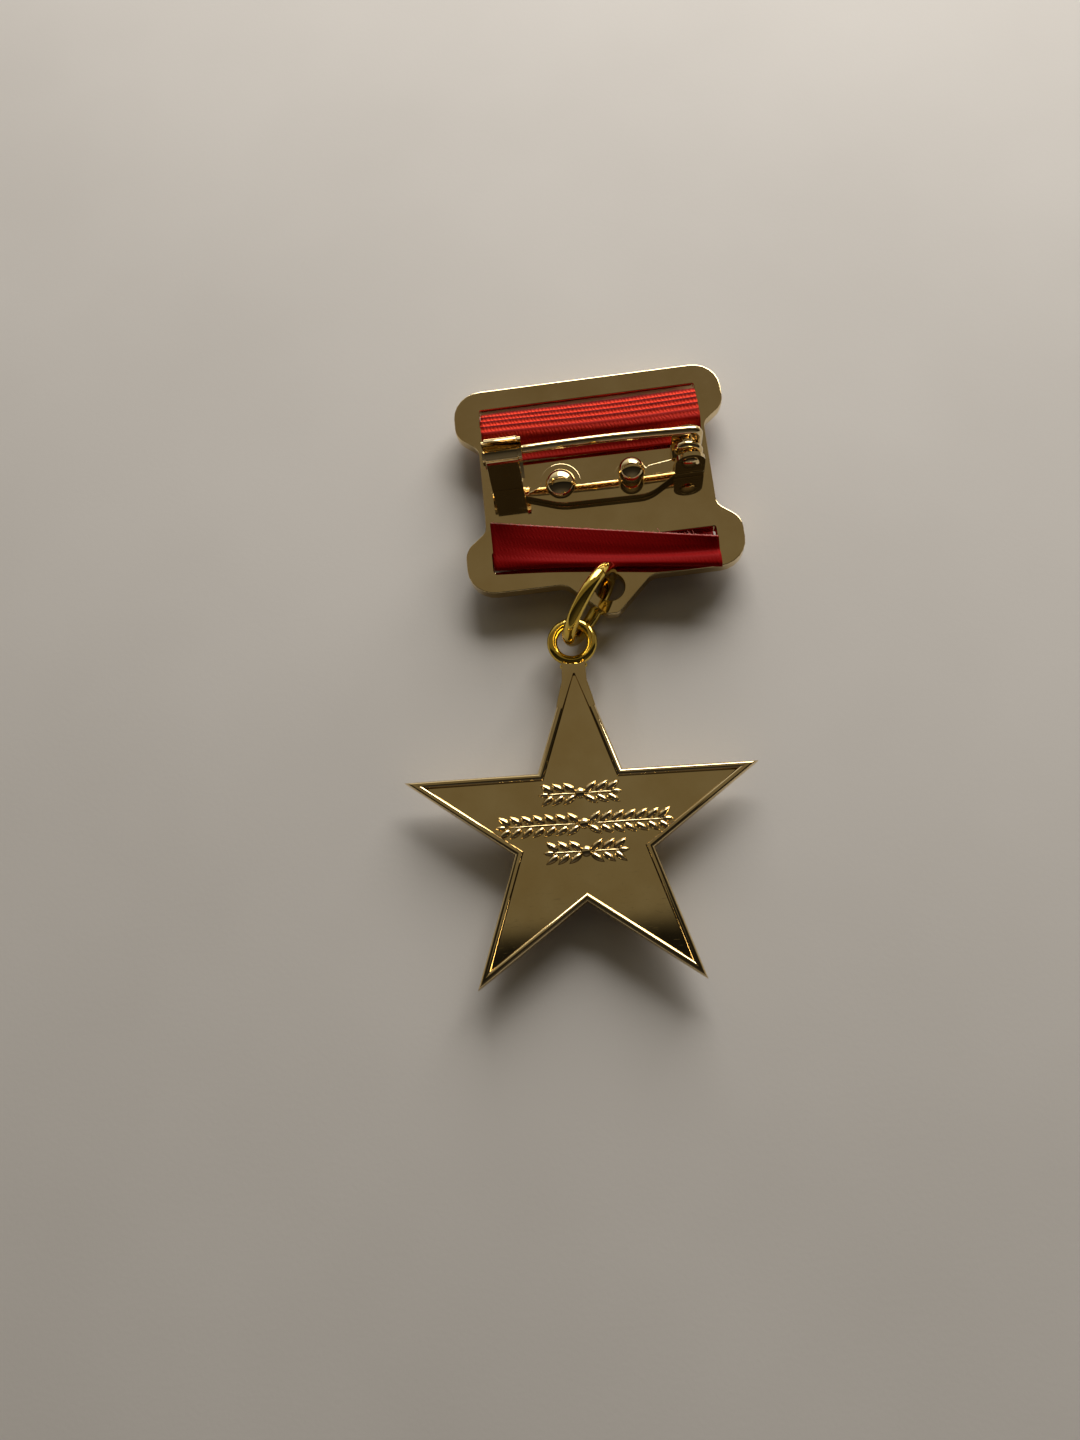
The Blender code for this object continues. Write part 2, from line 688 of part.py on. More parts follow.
clear_scene()
PARTS = new_collection("star_medal")
CUTTERS = new_collection("cutters", hidden=True)
GOLD = new_material("polished_gold_plate", (0.78, 0.62, 0.32), 0.12, 1.0)
RING_GOLD = new_material("yellow_gold_plate", (0.80, 0.60, 0.16), 0.16, 1.0)
RED = new_material("red_grosgrain", (0.62, 0.02, 0.02), 0.6, 0.0)
GLUE = new_material("clear_glue", (0.75, 0.70, 0.55), 0.35, 0.0)
build()
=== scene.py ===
import json
import math
import random

import bmesh
import bpy
from mathutils import Euler, Matrix, Vector


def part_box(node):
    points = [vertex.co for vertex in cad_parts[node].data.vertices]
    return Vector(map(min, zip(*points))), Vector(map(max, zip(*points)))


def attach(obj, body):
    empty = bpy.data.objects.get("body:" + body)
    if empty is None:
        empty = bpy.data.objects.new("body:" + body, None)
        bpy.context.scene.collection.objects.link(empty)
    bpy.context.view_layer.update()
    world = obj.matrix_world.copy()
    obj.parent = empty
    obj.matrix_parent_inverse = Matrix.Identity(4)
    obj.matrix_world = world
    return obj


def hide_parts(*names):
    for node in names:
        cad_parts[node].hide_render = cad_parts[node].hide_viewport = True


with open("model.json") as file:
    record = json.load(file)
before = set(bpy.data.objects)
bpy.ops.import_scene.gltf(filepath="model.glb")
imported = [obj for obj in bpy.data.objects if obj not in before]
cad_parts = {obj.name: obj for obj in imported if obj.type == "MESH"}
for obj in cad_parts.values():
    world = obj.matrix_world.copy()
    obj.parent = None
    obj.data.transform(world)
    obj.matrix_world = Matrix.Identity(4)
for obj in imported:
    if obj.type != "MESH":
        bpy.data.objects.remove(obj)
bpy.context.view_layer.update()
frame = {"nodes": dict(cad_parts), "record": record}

MM = 0.001

# ---------------------------------------------------------------- places read from the frame

PLATE_HALF_HEIGHT = 10.45 * MM
STAR_YAW = math.radians(-2.9)
STAR_MOUNT_Y = -4.5  # of the star_back mount from the star's centre, in millimetres
FIELD_Z = -0.4  # of the star's flat field from the top of its rim, in millimetres

PLATE_LOW, PLATE_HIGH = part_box("suspension_plate")
MOUNTS = {mount["name"]: mount["pos_m"] for mount in frame["record"]["mounts"]}
PLATE_BACK = MOUNTS["plate_back"][2]
PLATE_X = (PLATE_LOW.x + PLATE_HIGH.x) / 2
PLATE_Y = PLATE_HIGH.y - PLATE_HALF_HEIGHT
STAR_TURN = Matrix.Rotation(STAR_YAW, 3, "Z")
STAR_MOUNT = Vector(MOUNTS["star_back"])
STAR_CENTRE = STAR_MOUNT - STAR_TURN @ Vector((0, STAR_MOUNT_Y * MM, FIELD_Z * MM))


def on_star(x, y, z=0.0):
    """A point in metres, from millimetres about the star's centre and up from its rim's top."""
    return STAR_CENTRE + STAR_TURN @ Vector((x * MM, y * MM, z * MM))


def on_plate(x, y, z=0.0):
    """A point in metres, from millimetres along the plate and above its back face."""
    return Vector((PLATE_X + x * MM, PLATE_Y + y * MM, PLATE_BACK + z * MM))


# ---------------------------------------------------------------- camera

SENSOR_WIDTH = 36
FOCAL_LENGTH = 28.9
CAMERA_PLACE = STAR_CENTRE + Vector((1.830, -19.374, 96.146)) * MM
CAMERA_ANGLES = (16.563, 4.390, -5.666)  # degrees


def make_camera():
    data = bpy.data.cameras.new("camera")
    data.sensor_width = SENSOR_WIDTH
    data.lens = FOCAL_LENGTH
    data.clip_start = 1 * MM
    camera = bpy.data.objects.new("camera", data)
    bpy.context.scene.collection.objects.link(camera)
    camera.location = CAMERA_PLACE
    camera.rotation_euler = Euler([math.radians(angle) for angle in CAMERA_ANGLES])
    bpy.context.scene.camera = camera


# ---------------------------------------------------------------- stage and light

FLOOR_HALF = 0.6
FLOOR_Z = -0.02 * MM  # just clear of the medal's lowest points
FLOOR_COLOUR = (0.64, 0.61, 0.58)
FLOOR_DARK = (0.62, 0.59, 0.56)
FLOOR_LIGHT = (0.66, 0.63, 0.60)
WINDOW_PLACE = (0.10, 0.30, 0.16)
WINDOW_SIZE = (0.30, 0.20)
WINDOW_WATTS = 1.6
WINDOW_COLOUR = (1.0, 0.97, 0.92)
# the room's colours by share of the way from its dark side (-Y, 0) to its window side (+Y, 1)
ROOM = [
    (0.0, (0.10, 0.09, 0.08)),
    (0.22, (0.03, 0.026, 0.022)),
    (0.553, (0.010, 0.009, 0.007)),
    (0.562, (0.165, 0.14, 0.088)),
    (0.66, (0.18, 0.15, 0.095)),
    (0.80, (0.15, 0.12, 0.078)),
    (0.90, (0.55, 0.52, 0.46)),
    (1.0, (1.1, 1.06, 0.98)),
]


def node(tree, kind, **settings):
    made = tree.nodes.new(kind)
    for key, value in settings.items():
        setattr(made, key, value)
    return made


def make_floor():
    mesh = bpy.data.meshes.new("floor")
    corners = [(x * FLOOR_HALF, y * FLOOR_HALF, 0) for x, y in ((-1, -1), (1, -1), (1, 1), (-1, 1))]
    mesh.from_pydata(corners, [], [(0, 1, 2, 3)])
    floor = bpy.data.objects.new("floor", mesh)
    bpy.context.scene.collection.objects.link(floor)
    floor.location.z = FLOOR_Z
    material, tree, shader = new_material("pale_floor", FLOOR_COLOUR, roughness=0.75)
    place = node(tree, "ShaderNodeTexCoord").outputs["Object"]
    mottle = ramp(tree, noise(tree, place, 35, detail=3), 0.3, 0.7, FLOOR_DARK, FLOOR_LIGHT)
    tree.links.new(mottle, shader.inputs["Base Color"])
    bump(tree, shader, noise(tree, place, 2500, detail=2), 0.25, 0.02 * MM)
    mesh.materials.append(material)


def make_window():
    """The one soft light, aimed at the medal."""
    data = bpy.data.lights.new("window", "AREA")
    data.shape = "RECTANGLE"
    data.size, data.size_y = WINDOW_SIZE
    data.energy = WINDOW_WATTS
    data.color = WINDOW_COLOUR
    light = bpy.data.objects.new("window", data)
    light.location = WINDOW_PLACE
    aim = Vector((0, 0, 0)) - Vector(WINDOW_PLACE)
    light.rotation_euler = aim.to_track_quat("-Z", "Y").to_euler()
    bpy.context.scene.collection.objects.link(light)


def make_world():
    """A fixed room of light for the gold to reflect: black, then brown overhead, then bright."""
    world = bpy.data.worlds.new("studio")
    world.use_nodes = True
    tree = world.node_tree
    background = tree.nodes["Background"]
    direction = node(tree, "ShaderNodeTexCoord").outputs["Generated"]
    split = node(tree, "ShaderNodeSeparateXYZ")
    tree.links.new(direction, split.inputs["Vector"])
    side = spread(tree, split.outputs["Y"], -1, 1, 0, 1)
    room = node(tree, "ShaderNodeValToRGB")
    stops = room.color_ramp.elements
    for i, (place, colour) in enumerate(ROOM):
        stop = stops[i] if i < 2 else stops.new(place)  # a new ramp has two stops
        stop.position = place
        stop.color = (*colour, 1)
    tree.links.new(side, room.inputs["Fac"])
    tree.links.new(room.outputs["Color"], background.inputs["Color"])
    background.inputs["Strength"].default_value = 1.0
    bpy.context.scene.world = world
    bpy.context.scene.view_settings.view_transform = "Standard"


# ---------------------------------------------------------------- materials


def new_material(name, colour, metallic=0.0, roughness=0.5):
    material = bpy.data.materials.new(name)
    material.use_nodes = True
    tree = material.node_tree
    shader = tree.nodes["Principled BSDF"]
    shader.inputs["Base Color"].default_value = (*colour, 1)
    shader.inputs["Metallic"].default_value = metallic
    shader.inputs["Roughness"].default_value = roughness
    return material, tree, shader


def noise(tree, coordinates, scale, detail=2.0, stretch=(1, 1, 1), turn=(0, 0, 0)):
    mapping = node(tree, "ShaderNodeMapping")
    mapping.inputs["Scale"].default_value = stretch
    mapping.inputs["Rotation"].default_value = turn
    texture = node(tree, "ShaderNodeTexNoise")
    texture.inputs["Scale"].default_value = scale
    texture.inputs["Detail"].default_value = detail
    tree.links.new(coordinates, mapping.inputs["Vector"])
    tree.links.new(mapping.outputs["Vector"], texture.inputs["Vector"])
    return texture.outputs["Fac"]


def ramp(tree, value, low, high, dark, light):
    """Colours from dark to light as the value goes from low to high."""
    made = node(tree, "ShaderNodeValToRGB")
    made.color_ramp.elements[0].position = low
    made.color_ramp.elements[0].color = (*dark, 1)
    made.color_ramp.elements[1].position = high
    made.color_ramp.elements[1].color = (*light, 1)
    tree.links.new(value, made.inputs["Fac"])
    return made.outputs["Color"]


def spread(tree, value, low, high, to_low, to_high):
    """The value moved from the range low to high into the range to_low to to_high, and clamped."""
    made = node(tree, "ShaderNodeMapRange")
    limits = {"From Min": low, "From Max": high, "To Min": to_low, "To Max": to_high}
    for name, number in limits.items():
        made.inputs[name].default_value = number
    tree.links.new(value, made.inputs["Value"])
    return made.outputs["Result"]


def maths(tree, operation, a, b=0):
    made = node(tree, "ShaderNodeMath", operation=operation)
    for i, value in enumerate((a, b)):
        if isinstance(value, (int, float)):
            made.inputs[i].default_value = value
        else:
            tree.links.new(value, made.inputs[i])
    return made.outputs["Value"]


def bump(tree, shader, height, strength, distance):
    made = node(tree, "ShaderNodeBump")
    made.inputs["Strength"].default_value = strength
    made.inputs["Distance"].default_value = distance
    tree.links.new(height, made.inputs["Height"])
    tree.links.new(made.outputs["Normal"], shader.inputs["Normal"])


# how many times a pattern repeats in a metre
CLOUD_SCALE = 260
SCRATCH_SCALE = 900
HAZE_SCALE = 420
WAVE_SCALE = 170
GLUE_SCALE = 900
FUZZ_SCALE = 4000

STRAND_PITCH = 0.34  # of the twisted strands across each rib, in millimetres
SUNKEN_RIB = 0.62  # the level on the colour ramp, between the painted groove shade and the painted crest highlight, of a rib that is pressed flat


def gold_material(name, light, dark, roughness, waviness):
    """Polished gold plate: tarnish clouds, hairline scratches both ways and an uneven polish."""
    material, tree, shader = new_material(name, light, metallic=1.0)
    place = node(tree, "ShaderNodeTexCoord").outputs["Object"]
    clouds = noise(tree, place, CLOUD_SCALE, detail=5)
    tree.links.new(ramp(tree, clouds, 0.35, 0.68, dark, light), shader.inputs["Base Color"])
    along = noise(tree, place, SCRATCH_SCALE, stretch=(1, 14, 1), turn=(0, 0, 0.4))
    across = noise(tree, place, SCRATCH_SCALE, stretch=(16, 1, 1), turn=(0, 0, -0.25))
    marks = spread(tree, along, 0.66, 0.74, 0, 1), spread(tree, across, 0.68, 0.76, 0, 1)
    scratches = maths(tree, "MAXIMUM", *marks)
    patches = noise(tree, place, HAZE_SCALE, detail=4)
    haze = spread(tree, patches, 0.3, 0.75, roughness * 0.6, roughness * 1.6)
    rough = maths(tree, "ADD", haze, maths(tree, "MULTIPLY", scratches, 0.12))
    tree.links.new(rough, shader.inputs["Roughness"])
    wave = maths(tree, "MULTIPLY", noise(tree, place, WAVE_SCALE), waviness)
    fine = maths(tree, "MULTIPLY", scratches, -0.02)
    bump(tree, shader, maths(tree, "ADD", wave, fine), 0.35, 0.03 * MM)
    return material


def ribbon_material():
    """Red ribbed ribbon: UV counts millimetres across and ribs along, "relief" raises the ribs. Rib
    crests and strands are painted lighter as highlight and the grooves darker as shade, and where
    "relief" is low the ribbon is painted a dark red shade.
    """
    material, tree, shader = new_material("red_grosgrain_weave", (0.6, 0.02, 0.02), roughness=0.6)
    place = node(tree, "ShaderNodeUVMap").outputs["UV"]
    relief = node(tree, "ShaderNodeAttribute", attribute_name="relief").outputs["Fac"]
    split = node(tree, "ShaderNodeSeparateXYZ")
    tree.links.new(place, split.inputs["Vector"])
    across, along = split.outputs["X"], split.outputs["Y"]
    rib = maths(tree, "ABSOLUTE", maths(tree, "SINE", maths(tree, "MULTIPLY", along, math.pi)))
    wander = maths(tree, "MULTIPLY", noise(tree, place, 1.7, detail=3), 9.0)
    crosswise = maths(tree, "MULTIPLY", across, 2 * math.pi / STRAND_PITCH)
    skewed = maths(tree, "ADD", crosswise, maths(tree, "MULTIPLY", along, 3.0))
    strand = spread(tree, maths(tree, "SINE", maths(tree, "ADD", skewed, wander)), -1, 1, 0, 1)
    fuzz = noise(tree, place, 11, detail=4)
    bundle = maths(tree, "MULTIPLY", strand, 0.75)
    twist = maths(tree, "ADD", bundle, maths(tree, "MULTIPLY", fuzz, 0.5))
    thread = maths(tree, "MULTIPLY", rib, twist)
    strong = spread(tree, relief, 0, 1, 0.1, 1)
    bump(tree, shader, maths(tree, "MULTIPLY", thread, strong), 0.9, 0.13 * MM)
    # colour painted from crest to groove: painted highlight on the rib crests and strands, painted
    # shade in the grooves between them
    crest = maths(tree, "ADD", rib, maths(tree, "MULTIPLY", thread, 0.5))
    raised = maths(tree, "MULTIPLY", crest, strong)
    sunken = maths(tree, "SUBTRACT", SUNKEN_RIB, maths(tree, "MULTIPLY", strong, SUNKEN_RIB))
    level = maths(tree, "ADD", raised, sunken)
    colour = ramp(tree, level, 0.15, 1.0, (0.10, 0.0, 0.001), (1.0, 0.065, 0.03))
    # painted shade: a dark red that takes over where the relief is low, on the lower ribbon and on
    # the upper cut end behind the fold's crest
    painted_shade_red = ramp(tree, fuzz, 0.3, 0.7, (0.20, 0.0, 0.001), (0.28, 0.0, 0.001))
    blend = node(tree, "ShaderNodeMix", data_type="RGBA")
    tree.links.new(relief, blend.inputs["Factor"])
    # this node's sockets share their names, so the two colours and their mix go by number
    tree.links.new(painted_shade_red, blend.inputs[6])
    tree.links.new(colour, blend.inputs[7])
    tree.links.new(blend.outputs[2], shader.inputs["Base Color"])
    shader.inputs["Specular IOR Level"].default_value = 0.05
    return material


def thread_material(name, light, dark):
    material, tree, shader = new_material(name, light, roughness=0.7)
    place = node(tree, "ShaderNodeTexCoord").outputs["Object"]
    fuzz = noise(tree, place, FUZZ_SCALE, detail=3)
    tree.links.new(ramp(tree, fuzz, 0.3, 0.7, dark, light), shader.inputs["Base Color"])
    bump(tree, shader, fuzz, 0.6, 0.02 * MM)
    return material


def glue_material():
    material, tree, shader = new_material("dried_glue", (0.78, 0.72, 0.55), roughness=0.3)
    place = node(tree, "ShaderNodeTexCoord").outputs["Object"]
    lumps = noise(tree, place, GLUE_SCALE, detail=3)
    tree.links.new(spread(tree, lumps, 0.3, 0.7, 0.2, 0.5), shader.inputs["Roughness"])
    bump(tree, shader, lumps, 0.6, 0.05 * MM)
    shader.inputs["Transmission Weight"].default_value = 0.4
    return material


# ---------------------------------------------------------------- smooth shading of the pieces

WELD_DISTANCE = 0.001 * MM
FLAT_ANGLE = math.radians(0.3)


def smoothing_group(name, angle):
    """Joins each piece's triangles, with smooth shading across edges blunter than the angle."""
    group = bpy.data.node_groups.new(name, "GeometryNodeTree")
    for way in ("INPUT", "OUTPUT"):
        group.interface.new_socket("Geometry", in_out=way, socket_type="NodeSocketGeometry")
    start, end = node(group, "NodeGroupInput"), node(group, "NodeGroupOutput")
    weld = node(group, "GeometryNodeMergeByDistance")
    weld.inputs["Distance"].default_value = WELD_DISTANCE
    corner = node(group, "GeometryNodeInputMeshEdgeAngle")
    gentle = node(group, "FunctionNodeCompare", data_type="FLOAT", operation="LESS_THAN")
    gentle.inputs["B"].default_value = angle
    faces = node(group, "GeometryNodeSetShadeSmooth", domain="FACE")
    edges = node(group, "GeometryNodeSetShadeSmooth", domain="EDGE")
    links = group.links
    links.new(corner.outputs["Unsigned Angle"], gentle.inputs["A"])
    links.new(start.outputs[0], weld.inputs["Geometry"])
    links.new(weld.outputs["Geometry"], faces.inputs["Geometry"])
    links.new(faces.outputs["Geometry"], edges.inputs["Geometry"])
    links.new(gentle.outputs["Result"], edges.inputs["Shade Smooth"])
    links.new(edges.outputs["Geometry"], end.inputs[0])
    return group


def smooth(piece, group):
    """Shades a CAD node smooth, with modifiers only, so that its own vertices stay."""
    for name in ("custom_normal", "sharp_edge", "sharp_face"):
        if name in piece.data.attributes:
            piece.data.attributes.remove(piece.data.attributes[name])
    piece.modifiers.new("Smooth faces", "NODES").node_group = group
    flats = piece.modifiers.new("Whole flats", "DECIMATE")
    flats.decimate_type = "DISSOLVE"
    flats.angle_limit = FLAT_ANGLE
    weighted = piece.modifiers.new("Even shading", "WEIGHTED_NORMAL")
    weighted.keep_sharp = True


# ---------------------------------------------------------------- ribbon, in millimetres

RIBBON_HALF = 10.12
RIBBON_X = 0.02  # of the ribbon's middle on the plate
RIBBON_THICK = 0.24
RIB_PITCH = 0.72
RIB_DEPTH = 0.24
RIB_OVERHANG = 0.06  # of each rib's ends past the ribbon's edges
COLUMNS = 64
ROWS = 440

# (y, z) of the ribbon's middle line at its left edge, middle and right edge, in millimetres on
# the plate: the upper cut end and fold, the hidden way round the front, and the lower cut end
UPPER_END = {
    -1: [(2.4, 0.36), (3.2, 0.36), (3.9, 0.5), (4.4, 0.95)]
    + [(4.9, 1.4), (5.8, 1.2), (6.7, 0.8), (7.45, 0.3)],
    0: [(2.25, 0.36), (2.9, 0.36), (3.4, 0.5), (3.8, 0.95)]
    + [(4.3, 1.4), (5.4, 1.22), (6.5, 0.82), (7.45, 0.3)],
    1: [(2.1, 0.36), (2.7, 0.36), (3.1, 0.5), (3.5, 0.95)]
    + [(4.0, 1.4), (5.2, 1.25), (6.4, 0.85), (7.45, 0.3)],
}
FRONT = [(7.68, -0.4), (7.6, -1.1), (7.0, -1.85), (5.4, -2.4), (2.7, -2.62)]
FRONT += [(0.0, -2.66), (-2.7, -2.62), (-5.4, -2.4), (-7.0, -1.85), (-7.6, -1.1)]
LOWER_END = {
    -1: [(-7.85, -0.45), (-8.2, 0.2), (-8.3, 0.5), (-7.7, 0.65)]
    + [(-7.0, 0.62), (-6.0, 0.68), (-4.9, 0.78), (-3.95, 0.9)],
    0: [(-7.9, -0.35), (-8.6, 0.25), (-9.25, 0.45), (-9.2, 0.8)]
    + [(-8.75, 0.72), (-8.2, 0.56), (-7.2, 0.86), (-6.1, 1.1)],
    1: [(-7.95, -0.35), (-8.9, 0.3), (-10.5, 0.45), (-10.6, 0.85)]
    + [(-9.9, 0.92), (-9.15, 0.58), (-8.6, 0.82), (-8.1, 1.2)],
}
CURVE_STEPS = 10  # between two control points
# shares of the ribbon's length, from its upper cut end, at which the ribs' relief grows and fades;
# where it is low the ribbon is also painted a darker red as shade
GROWS_AT, GROWS_OVER, END_RELIEF = 0.08, 0.05, 0.3
FADES_AT, FADES_OVER, LOWER_RELIEF = 0.62, 0.1, 0.05


def between(ends, share):
    """The control points at a share of the width, -1 at the left edge to 1 at the right."""
    left, middle, right = ends[-1], ends[0], ends[1]
    return [
        tuple(
            a * share * (share - 1) / 2 + b * (1 - share * share) + c * share * (share + 1) / 2
            for a, b, c in zip(p, q, r)
        )
        for p, q, r in zip(left, middle, right)
    ]


def smooth_path(points, samples):
    """Evenly spaced points on a Catmull-Rom curve through 2-D points, and the curve's length."""
    dense = []
    count = len(points)
    for i in range(count - 1):
        a, b = Vector(points[max(i - 1, 0)]), Vector(points[i])
        c, d = Vector(points[i + 1]), Vector(points[min(i + 2, count - 1)])
        for k in range(CURVE_STEPS):
            t = k / CURVE_STEPS
            square, cube = (2 * a - 5 * b + 4 * c - d) * t * t, (3 * b - a - 3 * c + d) * t**3
            dense.append(0.5 * (2 * b + (c - a) * t + square + cube))
    dense.append(Vector(points[-1]))
    lengths = [0.0]
    for a, b in zip(dense, dense[1:]):
        lengths.append(lengths[-1] + (b - a).length)
    even = []
    i = 0
    for k in range(samples):
        target = lengths[-1] * k / (samples - 1)
        while i < len(dense) - 2 and lengths[i + 1] < target:
            i += 1
        part = (target - lengths[i]) / max(lengths[i + 1] - lengths[i], 1e-9)
        even.append(dense[i].lerp(dense[i + 1], min(max(part, 0), 1)))
    return even, lengths[-1]


def ribbon_path(share, samples):
    points = between(UPPER_END, share) + FRONT + between(LOWER_END, share)
    return smooth_path(points, samples)


def rib_shape(phase):
    """The height of a rib that is round on top, with a sharp valley on each side."""
    return abs(math.sin(math.pi * phase)) ** 0.75 - 0.6


def relief_at(t):
    """How far the ribs stand out: fully on the upper fold, less on its end, hardly below. Where
    they stand out less the ribbon is also painted darker as shade.
    """
    before_fade = min(max((FADES_AT - t) / FADES_OVER, 0), 1)
    after_growth = min(max((t - GROWS_AT) / GROWS_OVER, 0), 1)
    lower = LOWER_RELIEF + (1 - LOWER_RELIEF) * before_fade
    upper = END_RELIEF + (1 - END_RELIEF) * after_growth
    return lower * upper


def make_ribbon(material):
    length = ribbon_path(0, 8)[1]
    ribs = round(length / RIB_PITCH)
    mesh_bm = bmesh.new()
    uv_layer = mesh_bm.loops.layers.uv.new("UVMap")
    relief_layer = mesh_bm.verts.layers.float.new("relief")
    grid = []
    for i in range(COLUMNS + 1):
        share = -1 + 2 * i / COLUMNS
        path, _ = ribbon_path(share, ROWS + 1)
        line = []
        for j, point in enumerate(path):
            along = (path[min(j + 1, ROWS)] - path[max(j - 1, 0)]).normalized()
            outward = Vector((along.y, -along.x))
            phase = ribs * j / ROWS + 0.1 * math.sin(3.1 * share + 0.7)
            relief = relief_at(j / ROWS)
            bulge = RIB_DEPTH * relief * rib_shape(phase)
            place = point + outward * bulge
            half = RIBBON_HALF + RIB_OVERHANG * relief * rib_shape(phase)
            vert = mesh_bm.verts.new(on_plate(RIBBON_X + share * half, place.x, place.y))
            vert[relief_layer] = relief
            line.append((vert, share * half, phase))
        grid.append(line)
    for i in range(COLUMNS):
        for j in range(ROWS):
            corners = [grid[i][j], grid[i + 1][j], grid[i + 1][j + 1], grid[i][j + 1]]
            face = mesh_bm.faces.new([corner[0] for corner in corners])
            face.smooth = True
            for loop, corner in zip(face.loops, corners):
                loop[uv_layer].uv = corner[1:]
    mesh = bpy.data.meshes.new("ribbon_cloth")
    mesh_bm.to_mesh(mesh)
    mesh_bm.free()
    mesh.materials.append(material)
    cloth = bpy.data.objects.new("ribbon_cloth", mesh)
    bpy.context.scene.collection.objects.link(cloth)
    solid = cloth.modifiers.new("Thickness", "SOLIDIFY")
    solid.thickness = RIBBON_THICK * MM
    solid.offset = 0
    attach(cloth, "plate")
    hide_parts("ribbon")


# ---------------------------------------------------------------- small details, in millimetres

# left end, right end and height of the middle line of each laurel sprig on the star's back
SPRIGS = [(-3.5, 3.3, 3.1), (-7.3, 7.5, 0.45), (-3.3, 3.6, -1.95)]
LEAF_ANGLE = 38  # degrees
LEAF_SIZE = (1.38, 0.6, 0.3)
END_LEAF_SIZE = (1.0, 0.5, 0.26)
BERRY_SIZE = (0.95, 0.95, 0.34)
LEAF_TAPER = 0.2
# x and size of each blob of solder at the eyelet, and x of those at the catch's foot
EYELET_SOLDER = [(-0.62, (0.62, 0.34, 0.42)), (0.62, (0.62, 0.34, 0.42)), (0, (0.7, 0.3, 0.5))]
CATCH_SOLDER = (-9.3, -8.6, -7.9, -7.2)
CATCH_SOLDER_SIZE = (0.55, 0.2, 0.2)
EDGE_STEPS = 160
EDGE_THREAD = 0.07  # radius
LOOSE_THREAD = 0.03  # radius
LOOSE_THREADS = 110
THREAD_LIFT = 0.05  # of the threads above the ribbon's middle line


def add_mesh(name, mesh_bm, material, body):
    for face in mesh_bm.faces:
        face.smooth = True
    mesh = bpy.data.meshes.new(name)
    mesh_bm.to_mesh(mesh)
    mesh_bm.free()
    mesh.materials.append(material)
    made = bpy.data.objects.new(name, mesh)
    bpy.context.scene.collection.objects.link(made)
    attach(made, body)


def add_pebble(mesh_bm, place, angle, size, taper=0.0):
    """A half-sunk ellipsoid on the star's field; with a taper it is a leaf along the angle."""
    length, width, height = size
    verts = bmesh.ops.create_uvsphere(mesh_bm, u_segments=14, v_segments=8, radius=1)["verts"]
    turn = Matrix.Rotation(angle, 2)
    for vert in verts:
        u, v, w = vert.co
        narrow = 1 - taper * u
        if taper and u > 0:
            narrow *= 1 - 0.55 * u * u
        flat = turn @ Vector((u * length / 2, v * width / 2 * narrow))
        keel = 1 - 0.25 * abs(v) if taper else 1
        vert.co = on_star(place[0] + flat.x, place[1] + flat.y, FIELD_Z + w * height * keel)


def make_sprigs(material):
    """Three rows of laurel: a stem, leaves in pairs that point outwards and a berry midway."""
    mesh_bm = bmesh.new()
    chooser = random.Random(7)
    for left, right, level in SPRIGS:
        middle = (left + right) / 2
        add_pebble(mesh_bm, (middle, level), 0, BERRY_SIZE)
        for side, end in ((-1, left), (1, right)):
            reach = abs(end - middle)
            stem = (middle + side * reach * 0.52, level)
            add_pebble(mesh_bm, stem, 0, (reach * 0.92, 0.2, 0.14))
            pairs = round((reach - 0.4) / 1.0)
            for i in range(pairs):
                x = middle + side * (0.6 + (reach - 1.5) * i / (pairs - 1))
                for up in (-1, 1):
                    angle = up * math.radians(LEAF_ANGLE + chooser.uniform(-4, 4))
                    if side < 0:
                        angle = math.pi - angle
                    centre = (x + side * 0.34, level + up * 0.56)
                    add_pebble(mesh_bm, centre, angle, LEAF_SIZE, taper=LEAF_TAPER)
            tip = (end - side * 0.3, level)
            add_pebble(mesh_bm, tip, 0 if side > 0 else math.pi, END_LEAF_SIZE, taper=LEAF_TAPER)
    add_mesh("laurel_relief", mesh_bm, material, "star")


def add_blob(mesh_bm, place, size):
    verts = bmesh.ops.create_uvsphere(mesh_bm, u_segments=16, v_segments=10, radius=1)["verts"]
    for vert in verts:
        vert.co = place + Vector([a * b * MM for a, b in zip(vert.co, size)])


def make_solder(material):
    """Solder that fills the corners beside the eyelet's joint, and round the catch's foot."""
    mesh_bm = bmesh.new()
    for x, size in EYELET_SOLDER:
        add_blob(mesh_bm, on_star(x, 14.72, -0.6), size)
    add_mesh("eyelet_solder", mesh_bm, material, "star")
    mesh_bm = bmesh.new()
    for x in CATCH_SOLDER:
        add_blob(mesh_bm, on_plate(x, 1.75, 0.1), CATCH_SOLDER_SIZE)
    add_mesh("catch_solder", mesh_bm, material, "plate")


def lower_edge(share):
    """The ribbon's lower cut edge at a share of the width, and the way the ribbon points there."""
    path, _ = ribbon_path(share, 60)
    return path[-1], (path[-1] - path[-3]).normalized()


def add_threads(name, radius, paths, material):
    """Fine threads through lists of points in metres, each thinning towards its end."""
    curve = bpy.data.curves.new(name, "CURVE")
    curve.dimensions = "3D"
    curve.bevel_depth = radius
    curve.bevel_resolution = 2
    curve.use_fill_caps = True
    for points in paths:
        spline = curve.splines.new("POLY")
        spline.points.add(len(points) - 1)
        for k, point in enumerate(points):
            spline.points[k].co = (*point, 1)
            spline.points[k].radius = 1 - 0.4 * k / (len(points) - 1)
    threads = bpy.data.objects.new(name, curve)
    bpy.context.scene.collection.objects.link(threads)
    curve.materials.append(material)
    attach(threads, "plate")


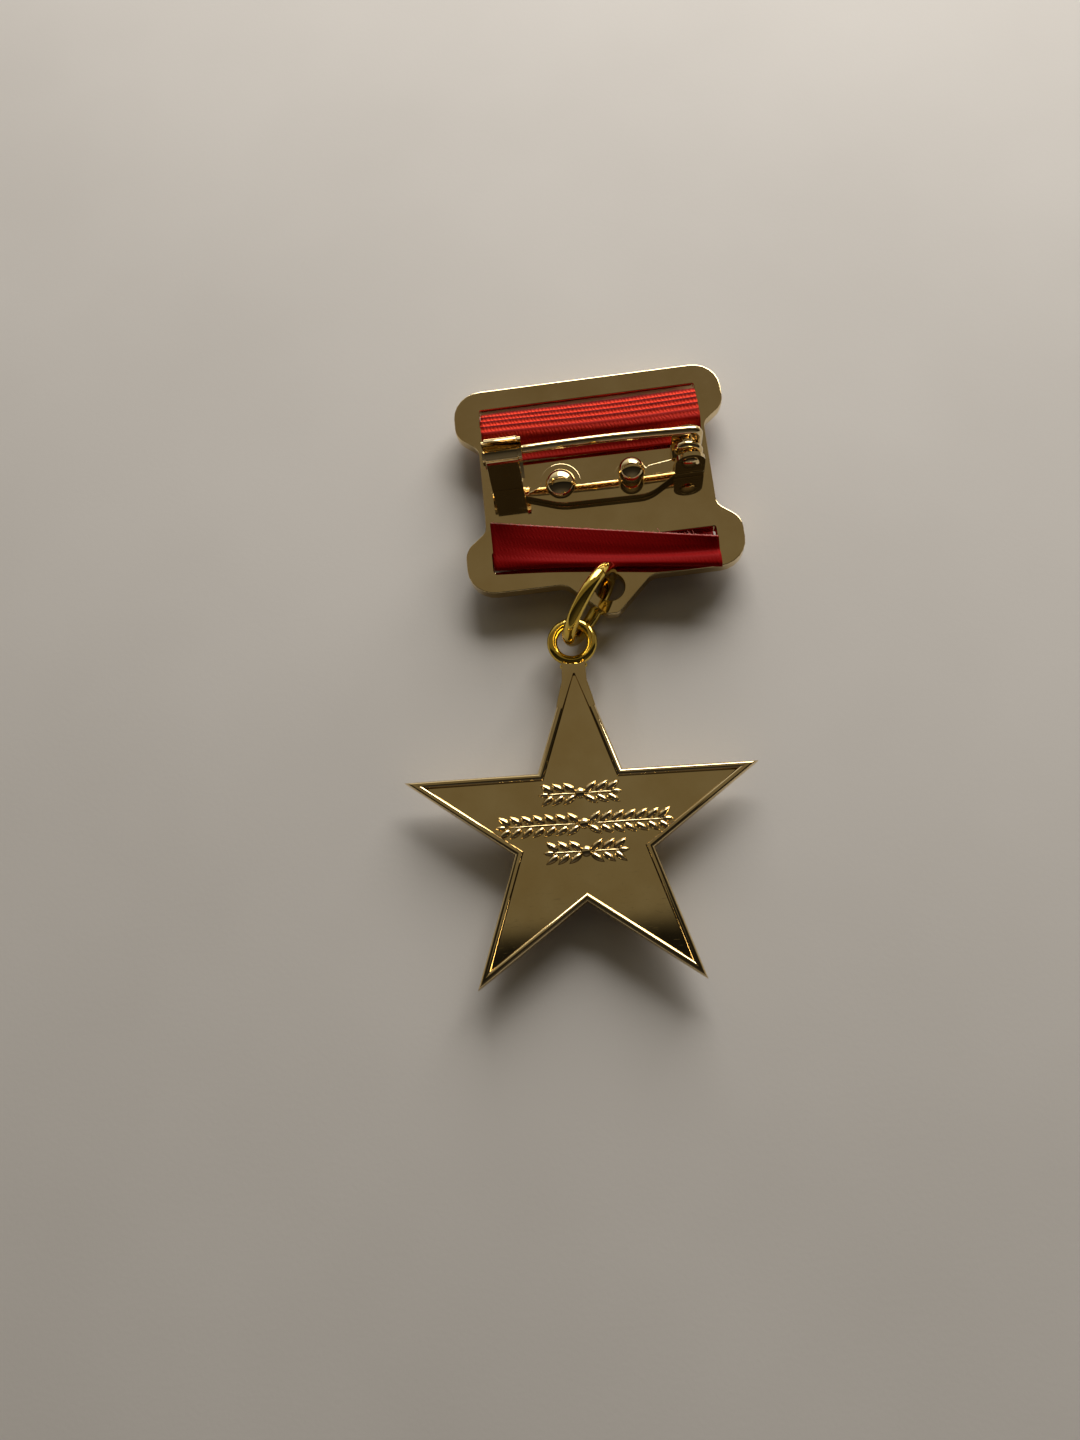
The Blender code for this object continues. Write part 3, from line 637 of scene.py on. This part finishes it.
def make_edge(material):
    """Two crossing threads along the lower cut edge."""
    edge = []
    for strand in range(2):
        line = []
        for k in range(EDGE_STEPS + 1):
            share = -0.99 + 1.98 * k / EDGE_STEPS
            end, _ = lower_edge(share)
            wave = 0.035 * math.sin(k * 1.7 + strand * math.pi)
            lift = THREAD_LIFT + 0.03 * math.cos(k * 1.3)
            line.append(on_plate(share * RIBBON_HALF, end.x + wave, end.y + lift))
        edge.append(line)
    add_threads("edge_threads", EDGE_THREAD * MM, edge, material)


def make_fray(material):
    """Loose thread ends at the lower cut edge, longest at the right."""
    chooser = random.Random(3)
    ends = []
    for k in range(LOOSE_THREADS):
        share = chooser.uniform(-0.98, 0.99)
        end, along = lower_edge(share)
        long = k % 9 == 0 and share > 0.2
        reach = chooser.uniform(0.08, 0.2) + (0.3 if long else 0)
        drift = chooser.uniform(-0.5, 0.5) * reach
        rise = chooser.uniform(0.1, 0.5) * reach
        loose = []
        for t in (0, 0.5, 1):
            sideways = share * RIBBON_HALF + drift * t * t
            lift = THREAD_LIFT + rise * t * t
            loose.append(on_plate(sideways, end.x + along.x * reach * t, end.y + lift))
        ends.append(loose)
    add_threads("frayed_threads", LOOSE_THREAD * MM, ends, material)


# ---------------------------------------------------------------- assembly of the scene

make_camera()
make_floor()
make_world()
make_window()

GOLD = gold_material("polished_gold", (0.80, 0.64, 0.36), (0.72, 0.55, 0.28), 0.04, 0.2)
WIRE_GOLD = gold_material("yellow_gold_wire", (0.84, 0.62, 0.14), (0.70, 0.48, 0.08), 0.08, 0.3)
GLUE = glue_material()
RED = ribbon_material()
PALE = thread_material("pale_thread", (0.80, 0.30, 0.26), (0.55, 0.08, 0.07))
SMOOTH_WIRE = smoothing_group("smooth_wires", math.radians(34))
SMOOTH_PLATE = smoothing_group("smooth_plates", math.radians(24))
PAINTS = {"jump_ring": WIRE_GOLD, "star_eyelet": WIRE_GOLD}
PAINTS.update({"ribbon_glue_top": GLUE, "ribbon_glue_bottom": GLUE})
ROUND = ("jump_ring", "star_eyelet", "pin_needle", "star_body")
for name, cad_node in frame["nodes"].items():
    cad_node.data.materials.clear()
    cad_node.data.materials.append(PAINTS.get(name, GOLD))
    smooth(cad_node, SMOOTH_WIRE if name in ROUND else SMOOTH_PLATE)
make_ribbon(RED)
make_sprigs(GOLD)
make_solder(WIRE_GOLD)
make_edge(PALE)
make_fray(PALE)
